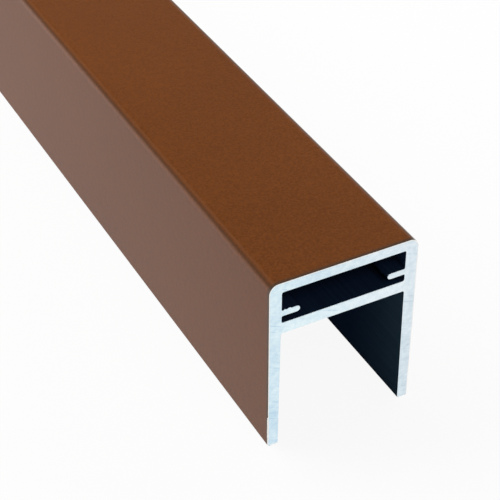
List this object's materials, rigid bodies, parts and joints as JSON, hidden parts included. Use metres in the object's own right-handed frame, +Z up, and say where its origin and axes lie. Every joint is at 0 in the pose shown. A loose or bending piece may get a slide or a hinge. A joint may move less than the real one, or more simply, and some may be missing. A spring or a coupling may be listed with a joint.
{
  "type": "aluminium extrusion profile",
  "caption": "Straight length of coated aluminium edging rail: an upside-down channel that caps a board, with a closed ribbed chamber over its slot and bare sawn ends.",
  "frame": {"origin": "on the floor under the middle of the length, half-way between the two legs", "axes": "+Y along the stock, +X across the section, +Z up from the feet of the legs to the top face"},
  "size_m": [0.024, 1, 0.03],
  "materials": {
    "coated_aluminium": "satin"
  },
  "bodies": {
    "root": {"extrusion_profile": "coated_aluminium"}
  },
  "joints": []
}
